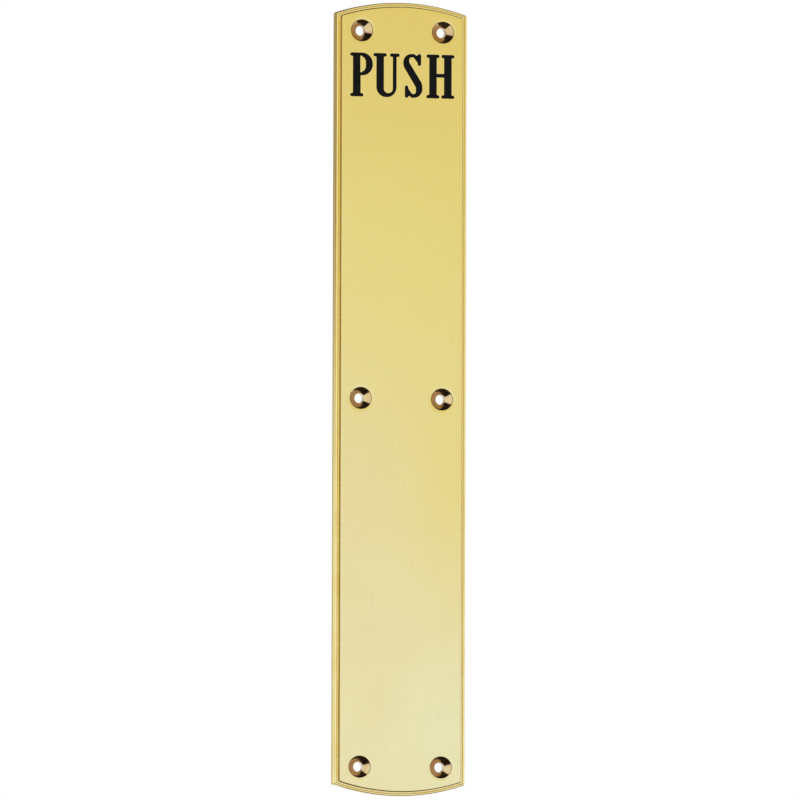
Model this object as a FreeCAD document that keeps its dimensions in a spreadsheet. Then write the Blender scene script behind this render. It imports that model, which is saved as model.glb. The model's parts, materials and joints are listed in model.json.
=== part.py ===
import FreeCAD, Part
import Sketcher
import math
import os

# Door finger plate: one cast and polished brass plate with straight sides and arched ends.
# A flat raised face with a steep bevel is framed by a narrow groove and a half-round bead, and
# six countersunk screw holes go through it in two columns of three.
# Millimetres. The back lies on the plane y = 0 and the face looks along -Y, with +Z up the
# door. The origin is the middle of the back.

NODE = "finger_plate"
HOLE_COLUMNS = 2
HOLE_ROWS = 3
TOLERANCE = 1e-4

# How a sketch numbers the points of its geometry, its origin and its vertical axis
START, END, CENTRE = 1, 2, 3
ORIGIN = (-1, START)
VERTICAL_AXIS = -2

# Alias, value and meaning of each driving dimension
DIMENSIONS = [
    ("plate_height", 382.0, "over the crowns of both arched ends"),
    ("plate_width", 66.0, "across the straight sides"),
    ("plate_thickness", 6.0, "from the back to the raised face"),
    ("end_radius", 103.0, "arch at each end, seen from the front"),
    ("corner_radius", 1.2, "corners where a straight side meets an arch"),
    ("face_rise", 0.7, "of the raised face above the crown of the bead"),
    ("bead_radius", 0.65, "quarter round on the outer side of the bead"),
    ("crown_land", 0.1, "flat left along the top of the bead"),
    ("bead_inner_radius", 0.6, "quarter round from the crown into the groove"),
    ("groove_width", 0.65, "from the bead to the side of the raised face"),
    ("groove_depth", 0.85, "below the crown of the bead"),
    ("groove_corner_radius", 0.3, "corners of the bead, seen from the groove"),
    ("face_corner_radius", 1.0, "corners of the raised face"),
    ("face_bevel_width", 0.5, "bevel round the raised face, across the plate"),
    ("face_bevel_height", 0.9, "bevel round the raised face, through the plate"),
    ("hole_side_distance", 12.5, "from a straight side to the nearer column of holes"),
    ("hole_end_distance", 14.0, "from the crown of an arch to the nearer row of holes"),
    ("bore_diameter", 4.8, "clearance for the shank of a screw"),
    ("countersink_diameter", 10.4, "where the cone meets the raised face"),
    ("countersink_angle", 100.0, "included angle of the cone, in degrees"),
    ("mouth_radius", 0.35, "softened mouth of a countersink"),
]

# Height of the bead's crown above the back, distances in from the outline and the extent of
# the hole grid, as expressions on the sheet
RIM_HEIGHT = "dims.plate_thickness - dims.face_rise"
BEAD_INSET = "dims.bead_radius + dims.crown_land + dims.bead_inner_radius"
FACE_INSET = BEAD_INSET + " + dims.groove_width"
GRID_WIDTH = "dims.plate_width - 2 * dims.hole_side_distance"
GRID_HEIGHT = "dims.plate_height - 2 * dims.hole_end_distance"


def make_sheet(doc):
    sheet = doc.addObject("Spreadsheet::Sheet", "dims")
    for row, (alias, value, meaning) in enumerate(DIMENSIONS, start=1):
        sheet.set(f"A{row}", alias)
        sheet.set(f"B{row}", str(value))
        sheet.set(f"C{row}", meaning)
        sheet.setAlias(f"B{row}", alias)
    doc.recompute()
    return sheet


def origin_feature(body, role):
    return next(feature for feature in body.Origin.OriginFeatures if feature.Role == role)


def front_sketch(body, name, height=None):
    # A sketch parallel to the back; its normal is -Y and height is an expression
    sketch = body.newObject("Sketcher::SketchObject", name)
    sketch.AttachmentSupport = (origin_feature(body, "XZ_Plane"), [""])
    sketch.MapMode = "FlatFace"
    if height:
        sketch.setExpression("AttachmentOffset.Base.z", height)
    return sketch


def add_size(sketch, constraint, name, expression):
    index = sketch.addConstraint(constraint)
    sketch.renameConstraint(index, name)
    sketch.setExpression(f"Constraints.{name}", expression)


def add_outline(sketch, dims, name, inset="0"):
    # The plate's outline moved inwards by inset. Every inset keeps the centres of the
    # arches, so that the outlines run parallel all the way round.
    half_width = dims.plate_width / 2
    arch_centre = dims.plate_height / 2 - dims.end_radius
    crown = dims.plate_height / 2
    corner = arch_centre + math.sqrt(dims.end_radius**2 - half_width**2)
    bottom_right = FreeCAD.Vector(half_width, -corner, 0)
    top_right = FreeCAD.Vector(half_width, corner, 0)
    top_left = FreeCAD.Vector(-half_width, corner, 0)
    bottom_left = FreeCAD.Vector(-half_width, -corner, 0)
    right = sketch.addGeometry(Part.LineSegment(bottom_right, top_right))
    top = sketch.addGeometry(Part.Arc(top_right, FreeCAD.Vector(0, crown, 0), top_left))
    left = sketch.addGeometry(Part.LineSegment(top_left, bottom_left))
    bottom = sketch.addGeometry(Part.Arc(bottom_left, FreeCAD.Vector(0, -crown, 0), bottom_right))

    ring = [right, top, left, bottom]
    for first, second in zip(ring, ring[1:] + ring[:1]):
        sketch.addConstraint(Sketcher.Constraint("Coincident", first, END, second, START))
    sketch.addConstraint(Sketcher.Constraint("Vertical", right))
    sketch.addConstraint(Sketcher.Constraint("Symmetric", right, START, left, START, *ORIGIN))
    sketch.addConstraint(Sketcher.Constraint("Symmetric", right, END, left, END, *ORIGIN))
    sketch.addConstraint(Sketcher.Constraint("PointOnObject", top, CENTRE, VERTICAL_AXIS))
    sketch.addConstraint(Sketcher.Constraint("Equal", top, bottom))
    width = Sketcher.Constraint("DistanceX", left, END, right, START, dims.plate_width)
    radius = Sketcher.Constraint("Radius", top, dims.end_radius)
    height = Sketcher.Constraint("DistanceY", *ORIGIN, top, CENTRE, arch_centre)
    add_size(sketch, width, f"{name}_width", f"dims.plate_width - 2 * ({inset})")
    add_size(sketch, radius, f"{name}_radius", f"dims.end_radius - ({inset})")
    add_size(sketch, height, f"{name}_arch_centre", "dims.plate_height / 2 - dims.end_radius")


def pick_edges(feature, wanted):
    edges = enumerate(feature.Shape.Edges, start=1)
    return [f"Edge{number}" for number, edge in edges if wanted(edge)]


def stands_up(edge):
    # True for an edge that runs straight along the thickness
    box = edge.BoundBox
    return max(box.XLength, box.ZLength) < TOLERANCE


def lies_at(edge, height):
    # True for an edge that lies in one plane, this far in front of the back
    box = edge.BoundBox
    return box.YLength < TOLERANCE and abs(box.YMax + height) < TOLERANCE


def off_outline(edge, dims, inset):
    # How far the middle of an edge is from a straight side and from an arch of the
    # outline moved inwards by inset
    middle = edge.valueAt((edge.FirstParameter + edge.LastParameter) / 2)
    arch_centre = dims.plate_height / 2 - dims.end_radius
    off_side = abs(middle.x) - (dims.plate_width / 2 - inset)
    off_arch = math.hypot(middle.x, abs(middle.z) - arch_centre) - (dims.end_radius - inset)
    return abs(off_side), abs(off_arch)


def is_circle(edge, radius):
    return isinstance(edge.Curve, Part.Circle) and abs(edge.Curve.Radius - radius) < TOLERANCE


def add_fillet(body, base, name, edges, radius):
    fillet = body.newObject("PartDesign::Fillet", name)
    fillet.Base = (base, edges)
    fillet.setExpression("Radius", radius)
    body.Document.recompute()
    return fillet


def add_rim(body, dims):
    # The slab up to the crown of the bead, with rounded corners and a quarter-round edge
    outline = front_sketch(body, "outline")
    add_outline(outline, dims, "outline")
    slab = body.newObject("PartDesign::Pad", "rim_slab")
    slab.Profile = outline
    slab.setExpression("Length", RIM_HEIGHT)
    body.Document.recompute()
    corners = pick_edges(slab, stands_up)
    rounded = add_fillet(body, slab, "corner_round", corners, "dims.corner_radius")
    rim_height = dims.plate_thickness - dims.face_rise
    front = pick_edges(rounded, lambda edge: lies_at(edge, rim_height))
    add_fillet(body, rounded, "bead_round", front, "dims.bead_radius")


def add_groove(body, dims):
    # The groove between the bead and the raised face
    ring = front_sketch(body, "groove_ring", RIM_HEIGHT)
    add_outline(ring, dims, "bead_side", BEAD_INSET)
    add_outline(ring, dims, "face_side", FACE_INSET)
    groove = body.newObject("PartDesign::Pocket", "groove")
    groove.Profile = ring
    groove.setExpression("Length", "dims.groove_depth")
    body.Document.recompute()


def add_face(body, dims):
    # The raised face, which continues the inner side of the groove
    outline = front_sketch(body, "face_outline", RIM_HEIGHT)
    add_outline(outline, dims, "face", FACE_INSET)
    face = body.newObject("PartDesign::Pad", "raised_face")
    face.Profile = outline
    face.setExpression("Length", "dims.face_rise")
    body.Document.recompute()
    return face


def soften_rim(body, dims, face):
    # Rounds the corners of the groove and of the face, rounds the bead into the groove and
    # bevels the face, all the way round
    rim_height = dims.plate_thickness - dims.face_rise
    bead_inset = dims.bead_radius + dims.crown_land + dims.bead_inner_radius
    face_inset = bead_inset + dims.groove_width

    def at_corner(edge, inset):
        return stands_up(edge) and max(off_outline(edge, dims, inset)) < TOLERANCE

    def on_side(edge, height, inset):
        return lies_at(edge, height) and min(off_outline(edge, dims, inset)) < TOLERANCE

    groove_corners = pick_edges(face, lambda edge: at_corner(edge, bead_inset))
    base = add_fillet(body, face, "groove_corner_round", groove_corners, "dims.groove_corner_radius")
    face_corners = pick_edges(base, lambda edge: at_corner(edge, face_inset))
    base = add_fillet(body, base, "face_corner_round", face_corners, "dims.face_corner_radius")
    crown = pick_edges(base, lambda edge: on_side(edge, rim_height, bead_inset))
    base = add_fillet(body, base, "bead_inner_round", crown, "dims.bead_inner_radius")
    front = pick_edges(base, lambda edge: on_side(edge, dims.plate_thickness, face_inset))
    bevel = body.newObject("PartDesign::Chamfer", "face_bevel")
    bevel.Base = (base, front)
    bevel.ChamferType = "Two distances"
    bevel.setExpression("Size", "dims.face_bevel_height")
    bevel.setExpression("Size2", "dims.face_bevel_width")
    body.Document.recompute()


def add_screw_holes(body, dims):
    # One countersunk hole at the lower left, repeated across and up the plate
    doc = body.Document
    centre_x = dims.hole_side_distance - dims.plate_width / 2
    centre_z = dims.hole_end_distance - dims.plate_height / 2
    sketch = front_sketch(body, "first_hole", "dims.plate_thickness")
    place = FreeCAD.Vector(centre_x, centre_z, 0)
    normal = FreeCAD.Vector(0, 0, 1)
    circle = sketch.addGeometry(Part.Circle(place, normal, dims.bore_diameter / 2))
    diameter = Sketcher.Constraint("Diameter", circle, dims.bore_diameter)
    left_of_middle = Sketcher.Constraint("DistanceX", circle, CENTRE, *ORIGIN, -centre_x)
    below_middle = Sketcher.Constraint("DistanceY", circle, CENTRE, *ORIGIN, -centre_z)
    add_size(sketch, diameter, "bore", "dims.bore_diameter")
    add_size(sketch, left_of_middle, "left_of_middle", f"({GRID_WIDTH}) / 2")
    add_size(sketch, below_middle, "below_middle", f"({GRID_HEIGHT}) / 2")
    doc.recompute()

    hole = body.newObject("PartDesign::Hole", "screw_hole")
    hole.Profile = sketch
    hole.DepthType = "ThroughAll"
    hole.HoleCutType = "Countersink"
    hole.HoleCutCustomValues = True
    hole.setExpression("Diameter", "dims.bore_diameter")
    hole.setExpression("HoleCutDiameter", "dims.countersink_diameter")
    hole.setExpression("HoleCutCountersinkAngle", "dims.countersink_angle")
    doc.recompute()

    grid = body.newObject("PartDesign::LinearPattern", "screw_holes")
    grid.Originals = [hole]
    grid.Direction = (origin_feature(body, "X_Axis"), [""])
    grid.Direction2 = (origin_feature(body, "Z_Axis"), [""])
    grid.Mode = "Extent"
    grid.Mode2 = "Extent"
    grid.Occurrences = HOLE_COLUMNS
    grid.Occurrences2 = HOLE_ROWS
    grid.setExpression("Length", GRID_WIDTH)
    grid.setExpression("Length2", GRID_HEIGHT)
    body.Tip = grid
    doc.recompute()

    mouth = dims.countersink_diameter / 2
    mouths = pick_edges(grid, lambda edge: is_circle(edge, mouth))
    return add_fillet(body, grid, "mouth_round", mouths, "dims.mouth_radius")


def check(doc, shape):
    for thing in doc.Objects:
        if "Invalid" in thing.State or "Error" in thing.State:
            raise RuntimeError(f"{thing.Name} failed: {thing.State}")
    if shape.isNull() or not shape.isValid() or len(shape.Solids) != 1:
        raise RuntimeError(f"{NODE} is not one valid solid")


doc = FreeCAD.newDocument("door_finger_plate")
dims = make_sheet(doc)
plate = doc.addObject("PartDesign::Body", NODE)
plate.Label = NODE
add_rim(plate, dims)
add_groove(plate, dims)
face = add_face(plate, dims)
soften_rim(plate, dims, face)
plate.Tip = add_screw_holes(plate, dims)
doc.recompute()
check(doc, plate.Shape)

os.makedirs("parts", exist_ok=True)
plate.Shape.exportStep(f"parts/{NODE}.step")
box = plate.Shape.optimalBoundingBox(False, False)
print(f"{NODE}: {box.XLength:.2f} x {box.YLength:.2f} x {box.ZLength:.2f} mm,", end=" ")
print(f"{plate.Shape.Volume / 1000:.2f} cubic cm, {len(plate.Shape.Faces)} faces")
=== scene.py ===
import json
import math

import bmesh
import bpy
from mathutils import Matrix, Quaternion, Vector
from mathutils.geometry import delaunay_2d_cdt


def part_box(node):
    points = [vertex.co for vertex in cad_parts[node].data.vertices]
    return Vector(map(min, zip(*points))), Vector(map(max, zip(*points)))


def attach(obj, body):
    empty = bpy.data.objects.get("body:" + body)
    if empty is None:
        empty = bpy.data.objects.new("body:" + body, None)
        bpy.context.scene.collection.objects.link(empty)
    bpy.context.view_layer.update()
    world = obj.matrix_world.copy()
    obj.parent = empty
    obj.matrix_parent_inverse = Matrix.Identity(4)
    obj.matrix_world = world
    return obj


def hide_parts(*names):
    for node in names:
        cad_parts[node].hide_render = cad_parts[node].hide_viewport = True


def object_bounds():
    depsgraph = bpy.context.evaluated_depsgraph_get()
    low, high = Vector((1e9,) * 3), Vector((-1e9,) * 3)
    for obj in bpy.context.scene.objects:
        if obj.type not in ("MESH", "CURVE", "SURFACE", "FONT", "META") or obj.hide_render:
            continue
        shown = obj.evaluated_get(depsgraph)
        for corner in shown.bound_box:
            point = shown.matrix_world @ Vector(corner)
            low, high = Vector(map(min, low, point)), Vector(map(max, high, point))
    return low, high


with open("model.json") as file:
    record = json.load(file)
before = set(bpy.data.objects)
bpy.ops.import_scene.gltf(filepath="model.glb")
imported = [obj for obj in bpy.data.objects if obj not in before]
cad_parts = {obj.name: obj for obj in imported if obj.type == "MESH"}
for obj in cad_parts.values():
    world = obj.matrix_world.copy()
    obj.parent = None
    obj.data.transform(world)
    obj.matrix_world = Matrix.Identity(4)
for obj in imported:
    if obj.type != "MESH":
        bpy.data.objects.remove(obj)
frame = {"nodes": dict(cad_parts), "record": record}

cadLow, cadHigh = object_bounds()
mm = 0.001
scene = bpy.context.scene
scene.view_settings.view_transform = "Standard"
print("frame loaded:", ", ".join(frame["nodes"]))


# mesh helpers: a loop is a list of bmesh vertices that runs anticlockwise as seen from the front,
# and a ring is a loop with the finish of the faces that lead to it

sharpAngle = math.radians(40)  # edges that turn further than this stay crisp
insideOnly = 1  # keeps the triangles inside the outlines
mergeWithin = 1e-6  # mm


def arcPoints(centreX, centreZ, radius, startAngle, endAngle, steps):
    points = []
    for i in range(steps + 1):
        angle = startAngle + (endAngle - startAngle) * i / steps
        points.append((centreX + radius * math.cos(angle), centreZ + radius * math.sin(angle)))
    return points


# height counts from the back of the plate towards the front
def addLoop(bm, points, height):
    return [bm.verts.new((x, -height, z)) for x, z in points]


def bridgeLoops(bm, outer, inner, finish):
    count = len(outer)
    for i in range(count):
        j = (i + 1) % count
        face = bm.faces.new((outer[i], outer[j], inner[j], inner[i]))
        face.material_index = finish


def bridgeRings(bm, rings):
    for (outer, _), (inner, finish) in zip(rings, rings[1:]):
        bridgeLoops(bm, outer, inner, finish)


def isInside(x, z, loop):
    inside = False
    for i, corner in enumerate(loop):
        x1, z1 = corner.co.x, corner.co.z
        x2, z2 = loop[i - 1].co.x, loop[i - 1].co.z
        if (z1 > z) != (z2 > z) and x < x1 + (z - z1) / (z2 - z1) * (x2 - x1):
            inside = not inside
    return inside


# fills a flat region between an outer loop and any number of openings
def fillRegion(bm, outer, openings, finish):
    corners = list(outer)
    edges = [(i, (i + 1) % len(outer)) for i in range(len(outer))]
    for loop in openings:
        start = len(corners)
        corners += loop
        edges += [(start + i, start + (i + 1) % len(loop)) for i in range(len(loop))]
    flat = [Vector((v.co.x / mm, v.co.z / mm)) for v in corners]
    made = delaunay_2d_cdt(flat, edges, [], insideOnly, mergeWithin)
    triangles, source = made[2], made[3]
    for triangle in triangles:
        picked = [corners[source[i][0]] for i in triangle]
        x = sum(v.co.x for v in picked) / 3
        z = sum(v.co.z for v in picked) / 3
        if any(isInside(x, z, loop) for loop in openings):
            continue
        face = bm.faces.new(picked)
        face.material_index = finish


def makePiece(name, bm, finishes):
    bmesh.ops.recalc_face_normals(bm, faces=bm.faces)
    mesh = bpy.data.meshes.new(name)
    bm.to_mesh(mesh)
    bm.free()
    for finish in finishes:
        mesh.materials.append(finish)
    mesh.shade_smooth()
    mesh.set_sharp_from_angle(angle=sharpAngle)
    piece = bpy.data.objects.new(name, mesh)
    scene.collection.objects.link(piece)
    steady = piece.modifiers.new("steadyNormals", "WEIGHTED_NORMAL")  # keeps flat areas flat
    steady.mode = "FACE_AREA"
    steady.weight = 100
    steady.keep_sharp = True
    return piece


# material helpers

nodeGap = 200  # editor units between neighbouring nodes
colourA, colourB, colourOut = 6, 7, 2  # the colour sockets of a mix node
noiseLow, noiseHigh = 0.3, 0.7  # noise lies mostly between these


def newMaterial(name):
    material = bpy.data.materials.new(name)
    material.use_nodes = True
    nodes = material.node_tree.nodes
    return material, nodes, material.node_tree.links, nodes["Principled BSDF"]


def addNode(nodes, kind, place, **settings):
    node = nodes.new(kind)
    node.location = (place[0] * nodeGap, place[1] * nodeGap)
    for key, value in settings.items():
        setattr(node, key, value)
    return node


# every group takes a vector and some numbers and gives one mask
def newGroup(name, *numbers):
    group = bpy.data.node_groups.new(name, "ShaderNodeTree")
    group.interface.new_socket("Vector", in_out="INPUT", socket_type="NodeSocketVector")
    for label in numbers:
        group.interface.new_socket(label, in_out="INPUT", socket_type="NodeSocketFloat")
    group.interface.new_socket("Mask", in_out="OUTPUT", socket_type="NodeSocketFloat")
    source = addNode(group.nodes, "NodeGroupInput", (-4, 0))
    result = addNode(group.nodes, "NodeGroupOutput", (4, 0))
    return group, source, result


def placeGroup(nodes, group, place, **values):
    node = addNode(nodes, "ShaderNodeGroup", place)
    node.node_tree = group
    for label, value in values.items():
        node.inputs[label].default_value = value
    return node


# each of the two colours is a constant or a socket
def mixColours(nodes, links, place, mask, first, second):
    mix = addNode(nodes, "ShaderNodeMix", place, data_type="RGBA")
    links.new(mask, mix.inputs["Factor"])
    for socket, value in ((mix.inputs[colourA], first), (mix.inputs[colourB], second)):
        if isinstance(value, tuple):
            socket.default_value = (*value, 1.0)
        else:
            links.new(value, socket)
    return mix.outputs[colourOut]


def mapTo(nodes, links, place, value, low, high, fromLow=0.0, fromHigh=1.0):
    ranged = addNode(nodes, "ShaderNodeMapRange", place)
    ranged.inputs["From Min"].default_value = fromLow
    ranged.inputs["From Max"].default_value = fromHigh
    ranged.inputs["To Min"].default_value = low
    ranged.inputs["To Max"].default_value = high
    links.new(value, ranged.inputs["Value"])
    return ranged.outputs["Result"]


# fine lines left by the polishing mop, drawn out along one axis
def makePolishLines():
    group, source, result = newGroup("polishLines", "AcrossX", "AcrossZ")
    nodes, links = group.nodes, group.links
    stretch = addNode(nodes, "ShaderNodeCombineXYZ", (-3, -1))
    scaled = addNode(nodes, "ShaderNodeVectorMath", (-2, 0), operation="MULTIPLY")
    noise = addNode(nodes, "ShaderNodeTexNoise", (-1, 0))
    noise.inputs["Scale"].default_value = 1.0
    noise.inputs["Detail"].default_value = 3.0
    noise.inputs["Roughness"].default_value = 0.6
    links.new(source.outputs["AcrossX"], stretch.inputs["X"])
    links.new(source.outputs["AcrossX"], stretch.inputs["Y"])
    links.new(source.outputs["AcrossZ"], stretch.inputs["Z"])
    links.new(source.outputs["Vector"], scaled.inputs[0])
    links.new(stretch.outputs["Vector"], scaled.inputs[1])
    links.new(scaled.outputs["Vector"], noise.inputs["Vector"])
    links.new(noise.outputs["Fac"], result.inputs["Mask"])
    return group


# slow cloudy change, as handling and cleaning leave on brass
def makeHandlingClouds():
    group, source, result = newGroup("handlingClouds", "Scale")
    nodes, links = group.nodes, group.links
    noise = addNode(nodes, "ShaderNodeTexNoise", (-2, 0))
    noise.inputs["Detail"].default_value = 2.0
    spread = addNode(nodes, "ShaderNodeMapRange", (0, 0), interpolation_type="SMOOTHSTEP")
    spread.inputs["From Min"].default_value = noiseLow
    spread.inputs["From Max"].default_value = noiseHigh
    links.new(source.outputs["Vector"], noise.inputs["Vector"])
    links.new(source.outputs["Scale"], noise.inputs["Scale"])
    links.new(noise.outputs["Fac"], spread.inputs["Value"])
    links.new(spread.outputs["Result"], result.inputs["Mask"])
    return group


# 0 at one place along an axis and 1 at another; a mirrored one does so on both sides of the middle
def makeFade(name, axis, start, end, mirrored=False):
    group, source, result = newGroup(name)
    nodes, links = group.nodes, group.links
    split = addNode(nodes, "ShaderNodeSeparateXYZ", (-2, 0))
    links.new(source.outputs["Vector"], split.inputs["Vector"])
    along = split.outputs[axis]
    if mirrored:
        away = addNode(nodes, "ShaderNodeMath", (-1, 0), operation="ABSOLUTE")
        links.new(along, away.inputs[0])
        along = away.outputs["Value"]
    share = mapTo(nodes, links, (0, 0), along, 0.0, 1.0, start, end)
    links.new(share, result.inputs["Mask"])
    return group


# scattered pin-head casting pits
def makeCastPits():
    darkShare = 0.4  # of a pit's size is fully dark
    group, source, result = newGroup("castPits", "Scale", "Size")
    nodes, links = group.nodes, group.links
    cells = addNode(nodes, "ShaderNodeTexVoronoi", (-2, 0))
    inner = addNode(nodes, "ShaderNodeMath", (-1, -1), operation="MULTIPLY")
    inner.inputs[1].default_value = darkShare
    pit = addNode(nodes, "ShaderNodeMapRange", (0, 0), interpolation_type="SMOOTHSTEP")
    pit.inputs["To Min"].default_value = 1.0
    pit.inputs["To Max"].default_value = 0.0
    links.new(source.outputs["Vector"], cells.inputs["Vector"])
    links.new(source.outputs["Scale"], cells.inputs["Scale"])
    links.new(source.outputs["Size"], inner.inputs[0])
    links.new(cells.outputs["Distance"], pit.inputs["Value"])
    links.new(inner.outputs["Value"], pit.inputs["From Min"])
    links.new(source.outputs["Size"], pit.inputs["From Max"])
    links.new(pit.outputs["Result"], result.inputs["Mask"])
    return group


fades = {
    "rightStart": 0.5 * cadHigh.x,  # measured across from the middle
    "rightFull": 0.9 * cadHigh.x,
    "endStart": cadHigh.z - 10 * mm,  # near the ends of the straight sides
    "endFull": cadHigh.z - 6 * mm,
}
polishLines = makePolishLines()
handlingClouds = makeHandlingClouds()
# the two tones each brass blends by this are a painted reflection on the face, rim and groove: deeper and
# warmer at the top, paler at the bottom
lengthDrift = makeFade("lengthDrift", "Z", cadLow.z, cadHigh.z)
rightFade = makeFade("rightFade", "X", fades["rightStart"], fades["rightFull"])
endFade = makeFade("endFade", "Z", fades["endStart"], fades["endFull"], mirrored=True)
castPits = makeCastPits()

faceFinish = {
    "upperColour": (0.89, 0.72, 0.317),
    "lowerColour": (0.915, 0.82, 0.465),
    "cloudColour": (0.86, 0.70, 0.34),
    "cloudScale": 28.0,
    "cloudShare": 0.25,  # how far a cloud reaches its own colour
    "pitColour": (0.70, 0.54, 0.24),
    "pitScale": 130.0,
    "pitSize": 0.03,
    # soft patches: colour, then middle and reach across and up in mm
    "patches": [
        ((0.90, 0.75, 0.31), (33.0, -34.0), (52.0, 98.0)),  # warm, right of the middle
        ((0.902, 0.782, 0.343), (0.0, 62.0), (90.0, 108.0)),  # golden, in the upper half
        ((0.91, 0.835, 0.49), (22.0, -160.0), (48.0, 55.0)),  # pale, at the lower right
    ],
    "roughLow": 0.15,
    "roughHigh": 0.24,
    "linesX": 2600.0,
    "linesZ": 40.0,
    "lineDepth": 0.016 * mm,
    "waveScale": 70.0,
    "waveDepth": 0.05 * mm,
}


# 1 in the middle of a patch, fading to 0 at its reach
def addPatch(nodes, links, coords, row, middle, reach):
    patch = addNode(nodes, "ShaderNodeMapping", (-7, row), vector_type="TEXTURE")
    patch.inputs["Location"].default_value = (middle[0] * mm, 0.0, middle[1] * mm)
    patch.inputs["Scale"].default_value = (reach[0] * mm, 1.0, reach[1] * mm)
    away = addNode(nodes, "ShaderNodeVectorMath", (-6, row), operation="LENGTH")
    share = addNode(nodes, "ShaderNodeMapRange", (-5, row), interpolation_type="SMOOTHSTEP")
    share.inputs["To Min"].default_value = 1.0
    share.inputs["To Max"].default_value = 0.0
    links.new(coords.outputs["Object"], patch.inputs["Vector"])
    links.new(patch.outputs["Vector"], away.inputs[0])
    links.new(away.outputs["Value"], share.inputs["Value"])
    return share.outputs["Result"]


# the face: two tones that drift along the plate, faint clouds, soft patches and a few pits,
# with mop lines in its gloss and its relief
# its two drifting tones are a painted reflection, deeper and warmer at the top and paler at the bottom
def makeFaceBrass(look):
    material, nodes, links, shader = newMaterial("faceBrass")
    shader.inputs["Metallic"].default_value = 1.0
    coords = addNode(nodes, "ShaderNodeTexCoord", (-8, 0))
    lines = placeGroup(nodes, polishLines, (-6, 1), AcrossX=look["linesX"], AcrossZ=look["linesZ"])
    clouds = placeGroup(nodes, handlingClouds, (-6, 0), Scale=look["cloudScale"])
    pits = placeGroup(nodes, castPits, (-6, -1), Scale=look["pitScale"], Size=look["pitSize"])
    waves = placeGroup(nodes, handlingClouds, (-6, -2), Scale=look["waveScale"])
    drift = placeGroup(nodes, lengthDrift, (-6, 2))
    for node in (lines, clouds, pits, waves, drift):
        links.new(coords.outputs["Object"], node.inputs["Vector"])
    tone = mixColours(nodes, links, (-4, 2), drift.outputs["Mask"], look["lowerColour"], look["upperColour"])
    faint = mapTo(nodes, links, (-5, 0), clouds.outputs["Mask"], 0.0, look["cloudShare"])
    tone = mixColours(nodes, links, (-3, 2), faint, tone, look["cloudColour"])
    for row, (colour, middle, reach) in enumerate(look["patches"], start=3):
        share = addPatch(nodes, links, coords, row, middle, reach)
        tone = mixColours(nodes, links, (-2, row), share, tone, colour)
    tone = mixColours(nodes, links, (-2, 2), pits.outputs["Mask"], tone, look["pitColour"])
    links.new(tone, shader.inputs["Base Color"])
    rough = mapTo(nodes, links, (-3, 0), lines.outputs["Mask"],
                  look["roughLow"], look["roughHigh"], noiseLow, noiseHigh)
    links.new(rough, shader.inputs["Roughness"])
    fine = addNode(nodes, "ShaderNodeBump", (-2, -1))
    fine.inputs["Distance"].default_value = look["lineDepth"]
    links.new(lines.outputs["Mask"], fine.inputs["Height"])
    wave = addNode(nodes, "ShaderNodeBump", (-1, -1))
    wave.inputs["Distance"].default_value = look["waveDepth"]
    links.new(waves.outputs["Mask"], wave.inputs["Height"])
    links.new(fine.outputs["Normal"], wave.inputs["Normal"])
    links.new(wave.outputs["Normal"], shader.inputs["Normal"])
    return material


# every other brass surface: two tones that drift along the plate, a third in slow clouds and mop lines
# in its gloss, with another tone on the right or at the arched ends where the look names one
# on the rim and groove the drift is a painted reflection; the other tone on the right and at the ends is a
# painted reflection in the groove and painted shade on the bevel
def makePlainBrass(name, look):
    material, nodes, links, shader = newMaterial(name)
    shader.inputs["Metallic"].default_value = 1.0
    coords = addNode(nodes, "ShaderNodeTexCoord", (-8, 0))
    lines = placeGroup(nodes, polishLines, (-6, 1), AcrossX=look["linesX"], AcrossZ=look["linesZ"])
    clouds = placeGroup(nodes, handlingClouds, (-6, 0), Scale=look["cloudScale"])
    drift = placeGroup(nodes, lengthDrift, (-6, 2))
    for node in (lines, clouds, drift):
        links.new(coords.outputs["Object"], node.inputs["Vector"])
    tone = mixColours(nodes, links, (-4, 2), drift.outputs["Mask"], look["lowerColour"], look["upperColour"])
    tone = mixColours(nodes, links, (-3, 1), clouds.outputs["Mask"], tone, look["cloudColour"])
    for row, (key, fade) in enumerate((("rightColour", rightFade), ("endColour", endFade)), start=3):
        if key in look:
            part = placeGroup(nodes, fade, (-6, row))
            links.new(coords.outputs["Object"], part.inputs["Vector"])
            tone = mixColours(nodes, links, (-2, row), part.outputs["Mask"], tone, look[key])
    links.new(tone, shader.inputs["Base Color"])
    rough = mapTo(nodes, links, (-3, 0), lines.outputs["Mask"],
                  look["roughLow"], look["roughHigh"], noiseLow, noiseHigh)
    links.new(rough, shader.inputs["Roughness"])
    return material


rimFinish = {
    "upperColour": (0.88, 0.69, 0.25), "lowerColour": (0.90, 0.78, 0.40), "cloudColour": (0.86, 0.67, 0.28),
    "roughLow": 0.09, "roughHigh": 0.16, "cloudScale": 60.0, "linesX": 1500.0, "linesZ": 150.0,
}
sideFinish = {
    "upperColour": (0.85, 0.67, 0.23), "lowerColour": (0.87, 0.73, 0.31), "cloudColour": (0.82, 0.64, 0.24),
    "roughLow": 0.10, "roughHigh": 0.18, "cloudScale": 60.0, "linesX": 1500.0, "linesZ": 150.0,
}
grooveFinish = {
    "upperColour": (0.89, 0.69, 0.27), "lowerColour": (0.91, 0.78, 0.37), "cloudColour": (0.85, 0.66, 0.27),
    # painted reflection: the groove paler on the right and at the arched ends
    "rightColour": (0.93, 0.81, 0.46), "endColour": (0.96, 0.86, 0.56),
    "roughLow": 0.18, "roughHigh": 0.28, "cloudScale": 90.0, "linesX": 900.0, "linesZ": 150.0,
}
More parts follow.
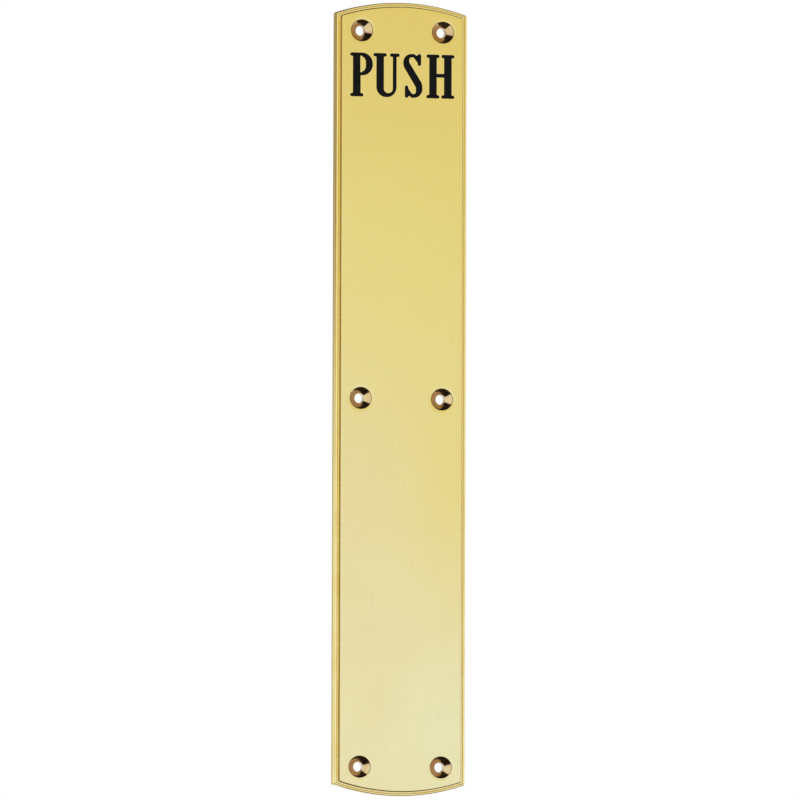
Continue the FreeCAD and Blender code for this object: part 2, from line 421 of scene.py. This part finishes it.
bevelShadeFinish = {  # painted shade: the bevel dark as a shaded recess, darker towards the bottom, darker still on the right and nearly black at the arched ends
    "upperColour": (0.36, 0.28, 0.09), "lowerColour": (0.26, 0.20, 0.06), "cloudColour": (0.30, 0.23, 0.07),
    "rightColour": (0.10, 0.075, 0.02), "endColour": (0.04, 0.028, 0.006),
    "roughLow": 0.24, "roughHigh": 0.36, "cloudScale": 90.0, "linesX": 900.0, "linesZ": 150.0,
}
lipShadeFinish = {  # painted shade: a near-black ring on the rounded lips round the mouths of the holes
    "upperColour": (0.06, 0.042, 0.010), "lowerColour": (0.07, 0.050, 0.012),
    "cloudColour": (0.10, 0.070, 0.018),
    "roughLow": 0.24, "roughHigh": 0.36, "cloudScale": 300.0, "linesX": 900.0, "linesZ": 900.0,
}
holeFinish = {
    "upperColour": (0.66, 0.48, 0.28), "lowerColour": (0.66, 0.48, 0.29), "cloudColour": (0.58, 0.40, 0.22),
    "roughLow": 0.11, "roughHigh": 0.17, "cloudScale": 300.0, "linesX": 1500.0, "linesZ": 1500.0,
}
# painted reflection: the bores nearly white, as if showing the white behind the plate
boreReflectionFinish = {
    "upperColour": (0.96, 0.86, 0.76), "lowerColour": (0.96, 0.88, 0.80), "cloudColour": (0.92, 0.78, 0.66),
    "roughLow": 0.45, "roughHigh": 0.60, "cloudScale": 300.0, "linesX": 800.0, "linesZ": 800.0,
}
backFinish = {
    "upperColour": (0.66, 0.51, 0.25), "lowerColour": (0.62, 0.48, 0.24), "cloudColour": (0.50, 0.37, 0.17),
    "roughLow": 0.38, "roughHigh": 0.55, "cloudScale": 40.0, "linesX": 60.0, "linesZ": 2200.0,
}
enamelFinish = {
    "colour": (0.003, 0.003, 0.0035),
    "cloudColour": (0.006, 0.006, 0.0075),
    "cloudScale": 400.0,
    "roughLow": 0.45,
    "roughHigh": 0.6,
    "gloss": 0.08,
}


def makeLetterEnamel(look):
    material, nodes, links, shader = newMaterial("letterEnamel")
    shader.inputs["Specular IOR Level"].default_value = look["gloss"]
    coords = addNode(nodes, "ShaderNodeTexCoord", (-8, 0))
    clouds = placeGroup(nodes, handlingClouds, (-6, 0), Scale=look["cloudScale"])
    links.new(coords.outputs["Object"], clouds.inputs["Vector"])
    tone = mixColours(nodes, links, (-3, 1), clouds.outputs["Mask"], look["colour"], look["cloudColour"])
    links.new(tone, shader.inputs["Base Color"])
    rough = mapTo(nodes, links, (-3, 0), clouds.outputs["Mask"], look["roughLow"], look["roughHigh"])
    links.new(rough, shader.inputs["Roughness"])
    return material


plateFinishes = [
    makeFaceBrass(faceFinish),
    makePlainBrass("rimBrass", rimFinish),
    makePlainBrass("sideBrass", sideFinish),
    makePlainBrass("grooveBrass", grooveFinish),
    makePlainBrass("bevelShadeBrass", bevelShadeFinish),
    makePlainBrass("lipShadeBrass", lipShadeFinish),
    makePlainBrass("holeBrass", holeFinish),
    makePlainBrass("boreReflectionBrass", boreReflectionFinish),
    makePlainBrass("backBrass", backFinish),
    makeLetterEnamel(enamelFinish),
]
onFace, onRim, onSide, inGroove, onBevel, onLip, inHole, inBore, onBack, inLetter = range(len(plateFinishes))
print("finishes made:", len(plateFinishes))


lettering = {
    "middle": (0.0, 155.7),  # across and up from the middle of the plate, in mm
    "depth": 0.5 * mm,
    "fillBelow": 0.14 * mm,
    "lip": 0.12 * mm,
    "lipRound": 0.3,  # share of the lip left at the middle of its rounding
    "arcStep": math.radians(9),
    "leastSteps": 3,
}

# letters: each corner is across, up and its rounding, in mm from the middle of the word
cap = 10.55  # half the cap height
slab = 9.0  # inner side of the serifs
tip = 0.7  # rounding of the serif ends
nook = 0.45  # rounding between serif and stem

letterP = [
    (-15.0, cap, 5.3), (-26.35, cap, tip), (-26.35, slab, tip), (-25.0, slab, nook),
    (-25.0, -slab, nook), (-26.35, -slab, tip), (-26.35, -cap, tip), (-19.75, -cap, tip),
    (-19.75, -slab, tip), (-21.15, -slab, nook), (-21.15, -0.35, 0.3), (-15.0, -0.35, 5.3),
]
counterP = [(-21.3, 9.4, 0.3), (-21.3, 0.8, 0.3), (-18.5, 2.6, 2.6), (-18.5, 7.6, 2.6)]
letterU = [
    (-1.45, cap, tip), (-6.3, cap, tip), (-6.3, slab, tip), (-4.85, slab, nook),
    (-4.85, -8.6, 2.2), (-9.4, -8.6, 2.2), (-9.4, slab, nook), (-8.0, slab, tip),
    (-8.0, cap, tip), (-14.65, cap, tip), (-14.65, slab, tip), (-13.15, slab, nook),
    (-13.15, -cap, 4.9), (-3.0, -cap, 4.9), (-3.0, slab, nook), (-1.45, slab, tip),
]
letterS = [
    (0.45, cap, 4.1), (0.45, 4.65, 5.0), (6.85, -5.5, 2.0), (6.85, -8.75, 1.2),
    (4.9, -8.75, 1.2), (2.95, -6.2, 1.5), (2.95, -4.7, 0.8), (1.25, -4.7, 0.8),
    (1.25, -cap, 0.6), (2.6, -cap, 0.4), (3.35, -9.6, 0.3), (4.7, -cap, 1.5),
    (10.1, -cap, 4.4), (10.1, -3.85, 5.0), (3.4, 6.45, 2.0), (3.4, 9.0, 1.4),
    (5.6, 9.0, 1.2), (7.75, 6.3, 1.5), (7.75, 4.95, 0.8), (9.4, 4.95, 0.8),
    (9.4, cap, 0.5), (8.0, cap, 0.4), (7.25, 9.7, 0.3), (5.9, cap, 1.5),
]
letterH = [
    (26.3, cap, tip), (19.75, cap, tip), (19.75, slab, tip), (21.1, slab, nook),
    (21.1, 1.35, 0.3), (17.35, 1.35, 0.3), (17.35, slab, nook), (18.7, slab, tip),
    (18.7, cap, tip), (12.2, cap, tip), (12.2, slab, tip), (13.6, slab, nook),
    (13.6, -slab, nook), (12.2, -slab, tip), (12.2, -cap, tip), (18.7, -cap, tip),
    (18.7, -slab, tip), (17.35, -slab, nook), (17.35, -0.4, 0.3), (21.1, -0.4, 0.3),
    (21.1, -slab, nook), (19.75, -slab, tip), (19.75, -cap, tip), (26.3, -cap, tip),
    (26.3, -slab, tip), (24.9, -slab, nook), (24.9, slab, nook), (26.3, slab, tip),
]
letterShapes = [(letterP, [counterP]), (letterU, []), (letterS, []), (letterH, [])]


# a closed outline in metres, every corner turned into an arc
def roundCorners(corners):
    points = []
    count = len(corners)
    for i, (x, z, radius) in enumerate(corners):
        here = Vector((x, z))
        back = (Vector(corners[i - 1][:2]) - here).normalized()
        ahead = (Vector(corners[(i + 1) % count][:2]) - here).normalized()
        half = back.angle(ahead) / 2
        centre = here + (back + ahead).normalized() * radius / math.sin(half)
        first = here + back * (radius / math.tan(half)) - centre
        last = here + ahead * (radius / math.tan(half)) - centre
        startAngle = math.atan2(first.y, first.x)
        sweep = math.atan2(first.cross(last), first.dot(last))
        steps = max(lettering["leastSteps"], round(abs(sweep) / lettering["arcStep"]))
        points += arcPoints(centre.x, centre.y, radius, startAngle, startAngle + sweep, steps)
    middleX, middleZ = lettering["middle"]
    return [((x + middleX) * mm, (z + middleZ) * mm) for x, z in points]


# the same outline moved outwards, square to the line between each point's neighbours
def spreadOutline(points, distance):
    moved = []
    count = len(points)
    for i, (x, z) in enumerate(points):
        ahead = Vector(points[(i + 1) % count]) - Vector(points[i - 1])
        ahead.normalize()
        moved.append((x + ahead.y * distance, z - ahead.x * distance))
    return moved


# the plate: rings from the back edge over the bead, through the groove and onto the face
plateForm = {
    "endRadius": 103 * mm,
    "faceRise": 0.7 * mm,
    "cornerRadius": 1.2 * mm,
    "beadRadius": 0.65 * mm,
    "crownLand": 0.1 * mm,
    "beadInnerRadius": 0.6 * mm,
    "grooveWidth": 0.65 * mm,
    "grooveDepth": 0.85 * mm,
    "grooveCorner": 0.3 * mm,
    "faceCorner": 1.0 * mm,
    "bevelWidth": 0.5 * mm,
    "bevelHeight": 0.9 * mm,
    "bevelBright": 0.15,  # share of the bevel, from its foot, that takes the groove's finish instead of the painted shade
    "bevelRound": 0.12 * mm,
    "roundIn": 0.25,  # a point midway round it, in shares of it
    "roundDown": 0.2,
    "rollWidth": 1.6 * mm,
    "rollDrop": 0.035 * mm,
    "backEdge": 0.15 * mm,
    "sideStraight": 1.6 * mm,
    "sideDraft": 0.12 * mm,
    "archSteps": 72,
    "cornerSteps": 8,
    "backEdgeRings": 4,
    "sideRings": 6,
    "beadRings": 12,
    "grooveRings": 8,
    "rollRings": 8,
}
holeForm = {
    "mouthRadius": 5.2 * mm,
    "mouthStretch": 0.05,  # wider across the plate than up it, by this share
    "coneAngle": 100,
    "mouthRound": 0.35 * mm,
    "dishRadius": 6.7 * mm,
    "dishDrop": 0.16 * mm,
    "boreRound": 0.08 * mm,
    "backBevel": 0.1 * mm,
    "steps": 96,
    "dishRings": 8,
    "mouthRings": 6,
}

plateLow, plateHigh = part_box("finger_plate")
halfWidth = (plateHigh.x - plateLow.x) / 2
halfHeight = (plateHigh.z - plateLow.z) / 2
faceHeight = plateHigh.y - plateLow.y
mounts = {mount["name"]: mount["dims"] for mount in frame["record"]["mounts"]}
holeAcross = mounts["corner_screw_holes"]["spacing_x_mm"] * mm / 2
holeUp = mounts["corner_screw_holes"]["spacing_y_mm"] * mm / 2
boreRadius = mounts["corner_screw_holes"]["hole_r_mm"] * mm
holeCentres = [(x, z) for z in (holeUp, 0.0, -holeUp) for x in (-holeAcross, holeAcross)]


def plateOutline(form, inset, cornerRadius):
    archCentre = halfHeight - form["endRadius"]
    cornerX = halfWidth - inset - cornerRadius
    reach = form["endRadius"] - inset - cornerRadius
    rise = math.sqrt(reach ** 2 - cornerX ** 2)
    turn = math.atan2(rise, cornerX)
    right = arcPoints(cornerX, archCentre + rise, cornerRadius, 0.0, turn, form["cornerSteps"])
    arch = arcPoints(0.0, archCentre, form["endRadius"] - inset, turn, math.pi - turn, form["archSteps"])
    left = [(-x, z) for x, z in reversed(right)]
    top = right + arch[1:-1] + left
    return top + [(-x, -z) for x, z in top]


# angles of a quarter turn in even steps
def quarterTurn(steps, first=0):
    return [math.radians(90 * i / steps) for i in range(first, steps + 1)]


# inset, height, plan corner radius and finish of each ring
def rimProfile(form):
    rimHeight = faceHeight - form["faceRise"]
    bead, land, inner = form["beadRadius"], form["crownLand"], form["beadInnerRadius"]
    outerCorner, grooveCorner, faceCorner = form["cornerRadius"], form["grooveCorner"], form["faceCorner"]
    backEdge, draft, straight = form["backEdge"], form["sideDraft"], form["sideStraight"]
    profile = [(backEdge, 0.0, outerCorner - backEdge, onBack)]
    for angle in quarterTurn(form["backEdgeRings"], first=1):
        inset = backEdge * (1 - math.sin(angle))
        height = backEdge * (1 - math.cos(angle))
        profile.append((inset, height, outerCorner - inset, onSide))
    for i in range(form["sideRings"] + 1):
        share = i / form["sideRings"]
        inset = draft * share ** 2
        height = straight + (rimHeight - bead - straight) * share
        profile.append((inset, height, outerCorner - inset, onSide))
    for angle in quarterTurn(form["beadRings"], first=1):
        inset = draft + (bead - draft) * (1 - math.cos(angle))
        height = rimHeight - bead + bead * math.sin(angle)
        profile.append((inset, height, outerCorner - inset, onRim))
    for angle in quarterTurn(form["beadRings"]):
        inset = bead + land + inner * math.sin(angle)
        height = rimHeight - inner + inner * math.cos(angle)
        profile.append((inset, height, grooveCorner + inner * (1 - math.sin(angle)), onRim))
    grooveIn = bead + land + inner
    floor = rimHeight - form["grooveDepth"]
    for i in range(1, form["grooveRings"] + 1):
        share = i / form["grooveRings"]
        inset = grooveIn + form["grooveWidth"] * (1 - math.cos(math.pi * share)) / 2
        height = floor + (rimHeight - inner - floor) * (1 - math.sin(math.pi * share))
        profile.append((inset, height, grooveCorner + (faceCorner - grooveCorner) * share, inGroove))
    return profile + bevelProfile(form, grooveIn + form["grooveWidth"])


# the same from the foot of the bevel over its soft edge to the flat of the face
def bevelProfile(form, faceIn):
    width, rise = form["bevelWidth"], form["bevelHeight"]
    bright, soft = form["bevelBright"], form["bevelRound"]
    footCorner = form["faceCorner"]
    topCorner = footCorner - width
    topIn = faceIn + width
    foot = faceHeight - rise
    brow = faceHeight - form["rollDrop"]
    slope = math.atan2(rise, width)
    softIn, softDown = soft * math.cos(slope), soft * math.sin(slope)
    edgeIn, edgeDown = soft * form["roundIn"], soft * form["roundDown"]
    profile = [
        (faceIn, foot, footCorner, inGroove),
        (faceIn + width * bright, foot + rise * bright, footCorner - width * bright, inGroove),
        (topIn - softIn, brow - softDown, topCorner + softIn, onBevel),
        (topIn - edgeIn, brow - edgeDown, topCorner + edgeIn, onFace),
    ]
    for i in range(form["rollRings"] + 1):
        share = i / form["rollRings"]
        inset = topIn + soft + form["rollWidth"] * share
        height = faceHeight - form["rollDrop"] * (1 + math.cos(math.pi * share)) / 2
        profile.append((inset, height, topCorner - soft, onFace))
    return profile


# radius, depth below the face and finish of each ring of a countersunk hole
def holeProfile(form):
    slope = math.radians(form["coneAngle"] / 2)
    turn = math.pi / 2 - slope  # from the face into the cone
    mouth, drop, soft = form["mouthRadius"], form["dishDrop"], form["mouthRound"]
    lipStart = mouth + soft * math.tan(turn / 2)
    profile = []
    for i in range(form["dishRings"]):
        share = i / form["dishRings"]
        radius = form["dishRadius"] + (lipStart - form["dishRadius"]) * share
        profile.append((radius, drop * (1 - math.cos(math.pi * share)) / 2, onFace))
    for i in range(form["mouthRings"] + 1):
        angle = turn * i / form["mouthRings"]
        radius = lipStart - soft * math.sin(angle)
        depth = drop + soft * (1 - math.cos(angle))
        profile.append((radius, depth, onFace if i == 0 else onLip))
    coneDepth = (mouth - boreRadius) / math.tan(slope) + drop
    boreRound, backBevel = form["boreRound"], form["backBevel"]
    profile.append((boreRadius + boreRound, coneDepth - boreRound, inHole))
    profile.append((boreRadius, coneDepth + boreRound, inBore))
    profile.append((boreRadius, faceHeight - backBevel, inBore))
    profile.append((boreRadius + backBevel, faceHeight, onBack))
    return profile


# cuts a hole and gives its edge loops on the face and on the back
def cutHole(bm, form, x, z):
    coneRun = form["mouthRadius"] - boreRadius
    rings = []
    for radius, depth, finish in holeProfile(form):
        circle = arcPoints(0.0, 0.0, radius, 0.0, math.tau, form["steps"])[:-1]
        widen = 1 + form["mouthStretch"] * min(1.0, (radius - boreRadius) / coneRun)
        oval = [(x + across * widen, z + up) for across, up in circle]
        rings.append((addLoop(bm, oval, faceHeight - depth), finish))
    bridgeRings(bm, rings)
    return rings[0][0], rings[-1][0]


# cuts a letter with its islands and gives its edge loop on the face
def cutLetter(bm, outline, counters):
    lip = lettering["lip"]
    soft = lip * lettering["lipRound"]
    wall = [
        (lip, 0.0, onFace),
        (soft, soft, onFace),
        (0.0, lip, onFace),
        (0.0, lettering["depth"], inLetter),
    ]
    edges, floors = [], []
    for corners in [outline] + counters:
        points = roundCorners(corners)
        side = -1 if edges else 1  # a counter's lip spreads inwards, onto its island
        rings = [(addLoop(bm, spreadOutline(points, side * spread), faceHeight - depth), finish)
                 for spread, depth, finish in wall]
        bridgeRings(bm, rings)
        edges.append(rings[0][0])
        floors.append(rings[-1][0])
    for island in edges[1:]:
        fillRegion(bm, island, [], onFace)
    fillRegion(bm, floors[0], floors[1:], inLetter)
    return edges[0]


def buildPlate():
    bm = bmesh.new()
    rings = [(addLoop(bm, plateOutline(plateForm, inset, corner), height), finish)
             for inset, height, corner, finish in rimProfile(plateForm)]
    bridgeRings(bm, rings)
    faceOpenings, backOpenings = [], []
    for x, z in holeCentres:
        faceEdge, backEdge = cutHole(bm, holeForm, x, z)
        faceOpenings.append(faceEdge)
        backOpenings.append(backEdge)
    for outline, counters in letterShapes:
        faceOpenings.append(cutLetter(bm, outline, counters))
    fillRegion(bm, rings[-1][0], faceOpenings, onFace)
    fillRegion(bm, rings[0][0], backOpenings, onBack)
    return makePiece("pushPlate", bm, plateFinishes)


plate = buildPlate()
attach(plate, "root")
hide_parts("finger_plate")
print("plate built:", len(plate.data.polygons), "faces")


# black enamel in the letters, level just under the face
def buildLetterFill():
    bm = bmesh.new()
    floor = faceHeight - lettering["depth"]
    level = faceHeight - lettering["fillBelow"]
    allOver = 0  # its one finish
    for outline, counters in letterShapes:
        tops, floors = [], []
        for corners in [outline] + counters:
            points = roundCorners(corners)
            top = addLoop(bm, points, level)
            bottom = addLoop(bm, points, floor)
            bridgeLoops(bm, bottom, top, allOver)
            tops.append(top)
            floors.append(bottom)
        fillRegion(bm, tops[0], tops[1:], allOver)
        fillRegion(bm, floors[0], floors[1:], allOver)
    return makePiece("letterFill", bm, [plateFinishes[inLetter]])


letterFill = buildLetterFill()
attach(letterFill, "root")
print("letters filled:", len(letterFill.data.polygons), "faces")


# studio: pale floor in a white tent, with soft panels and dark flags that only reflections see
studio = {
    "floorHeight": -0.42,
    "floorSize": 8.0,
    "floorColour": (0.86, 0.86, 0.86),
    "floorRough": 0.8,
}


# unit vector from the plate to an azimuth and an elevation in degrees, both 0 straight in front
def directionTo(look):
    azimuth, elevation = math.radians(look["azimuth"]), math.radians(look["elevation"])
    return Vector((math.sin(azimuth) * math.cos(elevation),
                   -math.cos(azimuth) * math.cos(elevation),
                   math.sin(elevation)))


def turnTo(thing, direction, frontAxis, roll):
    thing.rotation_mode = "QUATERNION"
    turn = Quaternion((0.0, 0.0, 1.0), math.radians(roll))
    thing.rotation_quaternion = direction.to_track_quat(frontAxis, "Y") @ turn


def makeSheet(name, width, height, level, material):
    halfW, halfH = width / 2, height / 2
    corners = [(-halfW, -halfH), (halfW, -halfH), (halfW, halfH), (-halfW, halfH)]
    bm = bmesh.new()
    bm.faces.new([bm.verts.new((x, y, level)) for x, y in corners])
    mesh = bpy.data.meshes.new(name)
    bm.to_mesh(mesh)
    bm.free()
    mesh.materials.append(material)
    sheet = bpy.data.objects.new(name, mesh)
    scene.collection.objects.link(sheet)
    return sheet


def buildFloor():
    size = studio["floorSize"]
    material, _, _, shader = newMaterial("floorPaper")
    shader.inputs["Base Color"].default_value = (*studio["floorColour"], 1.0)
    shader.inputs["Roughness"].default_value = studio["floorRough"]
    floor = makeSheet("studioFloor", size, size, studio["floorHeight"], material)
    floor.visible_glossy = False  # polished metal mirrors the white tent instead
    return floor


buildFloor()

# a panel's colour runs from low to high between two edges, which are shares of its height
softPanels = {
    "frontPanel": {
        "azimuth": 25.0, "elevation": 3.0, "distance": 0.8, "width": 1.1, "height": 1.3, "roll": 25.0,
        "low": (0.90, 0.93, 0.96), "high": (0.84, 0.80, 0.45), "lowEdge": 0.354, "highEdge": 0.654,
    },
    "leftPanel": {
        "azimuth": -68.0, "elevation": 0.0, "distance": 0.3, "width": 0.32, "height": 0.44, "roll": 0.0,
        "low": (1.18, 1.30, 1.16), "high": (1.18, 1.28, 1.10), "lowEdge": 0.3, "highEdge": 0.7,
    },
    "bevelPanel": {
        "azimuth": -108.0, "elevation": 0.0, "distance": 0.5, "width": 0.2, "height": 1.1, "roll": 0.0,
        "low": (0.24, 0.20, 0.08), "high": (0.36, 0.28, 0.14), "lowEdge": 0.3, "highEdge": 0.7,
    },
    "sidePanel": {
        "azimuth": -138.0, "elevation": 0.0, "distance": 0.5, "width": 0.33, "height": 1.1, "roll": 0.0,
        "low": (1.0, 1.0, 0.96), "high": (0.42, 0.36, 0.24), "lowEdge": 0.46, "highEdge": 0.64,
    },
    "backPanel": {
        "azimuth": -168.0, "elevation": 3.0, "distance": 0.6, "width": 0.22, "height": 1.1, "roll": 0.0,
        "low": (0.54, 0.55, 0.44), "high": (0.36, 0.32, 0.23), "lowEdge": 0.35, "highEdge": 0.7,
    },
}

# dark flags: azimuth, elevation, distance, width, height
flagColour = (0.02, 0.014, 0.01)
darkFlags = {
    "overheadFlag": (0.0, 90.0, 2.0, 2.1, 2.1),
    "floorFlag": (0.0, -90.0, 2.0, 2.1, 2.1),
    "upperLeftFlag": (-60.0, 52.0, 0.9, 1.0, 0.6),
    "lowerLeftFlag": (-60.0, -50.0, 0.9, 1.0, 0.6),
    "upperRightFlag": (82.0, 50.0, 0.9, 0.7, 0.5),
    "lowerRightFlag": (82.0, -50.0, 0.9, 0.7, 0.5),
    "upperBackFlag": (150.0, 50.0, 1.5, 0.9, 0.8),
    "lowerBackFlag": (147.0, -56.0, 1.5, 0.9, 0.8),
    "backFlag": (172.0, 16.0, 1.0, 0.5, 0.6),
}
for flagName, place in darkFlags.items():
    flag = dict(zip(("azimuth", "elevation", "distance", "width", "height"), place))
    flag.update(roll=0.0, low=flagColour, high=flagColour, lowEdge=0.0, highEdge=1.0)
    softPanels[flagName] = flag


def buildPanel(name, look):
    material, nodes, links, shader = newMaterial(name + "Cloth")
    nodes.remove(shader)
    coords = addNode(nodes, "ShaderNodeTexCoord", (-4, 0))
    split = addNode(nodes, "ShaderNodeSeparateXYZ", (-3, 0))
    ramp = addNode(nodes, "ShaderNodeMapRange", (-2, 0), interpolation_type="SMOOTHSTEP")
    ramp.inputs["From Min"].default_value = look["lowEdge"]
    ramp.inputs["From Max"].default_value = look["highEdge"]
    glow = addNode(nodes, "ShaderNodeEmission", (0, 0))
    links.new(coords.outputs["Generated"], split.inputs["Vector"])
    links.new(split.outputs["Y"], ramp.inputs["Value"])
    tone = mixColours(nodes, links, (-1, 0), ramp.outputs["Result"], look["low"], look["high"])
    links.new(tone, glow.inputs["Color"])
    links.new(glow.outputs["Emission"], nodes["Material Output"].inputs["Surface"])
    outward = directionTo(look)
    panel = makeSheet(name, look["width"], look["height"], 0.0, material)
    panel.location = outward * look["distance"]
    turnTo(panel, -outward, "Z", look["roll"])
    panel.visible_camera = False
    panel.visible_shadow = False
    panel.visible_diffuse = False
    return panel


for panelName, panelLook in softPanels.items():
    buildPanel(panelName, panelLook)


worldLook = {"colour": (1.0, 1.0, 1.0), "strength": 1.0}  # the white tent that every ray sees


def buildWorld(look):
    world = bpy.data.worlds.new("studioSurround")
    world.use_nodes = True
    tent = world.node_tree.nodes["Background"]
    tent.inputs["Color"].default_value = (*look["colour"], 1.0)
    tent.inputs["Strength"].default_value = look["strength"]
    scene.world = world


buildWorld(worldLook)
print("studio set up")


cameraLook = {
    "azimuth": -18.0,
    "elevation": -2.9,
    "roll": 0.18,
    "distance": 6.0,
    "lens": 561.2,
    "sensor": 36.0,
    "clipEnd": 50.0,
    "aimRight": 1.15 * mm,
    "aimUp": -0.33 * mm,
}


def buildCamera(look):
    azimuth = math.radians(look["azimuth"])
    back = directionTo(look)
    right = Vector((math.cos(azimuth), math.sin(azimuth), 0.0))
    aim = right * look["aimRight"] + Vector((0.0, 0.0, look["aimUp"]))
    lens = bpy.data.cameras.new("photoCamera")
    lens.lens = look["lens"]
    lens.sensor_width = look["sensor"]
    lens.clip_end = look["clipEnd"]
    camera = bpy.data.objects.new("photoCamera", lens)
    camera.location = aim + back * look["distance"]
    turnTo(camera, -back, "-Z", look["roll"])
    scene.collection.objects.link(camera)
    scene.camera = camera


buildCamera(cameraLook)
print("camera placed")
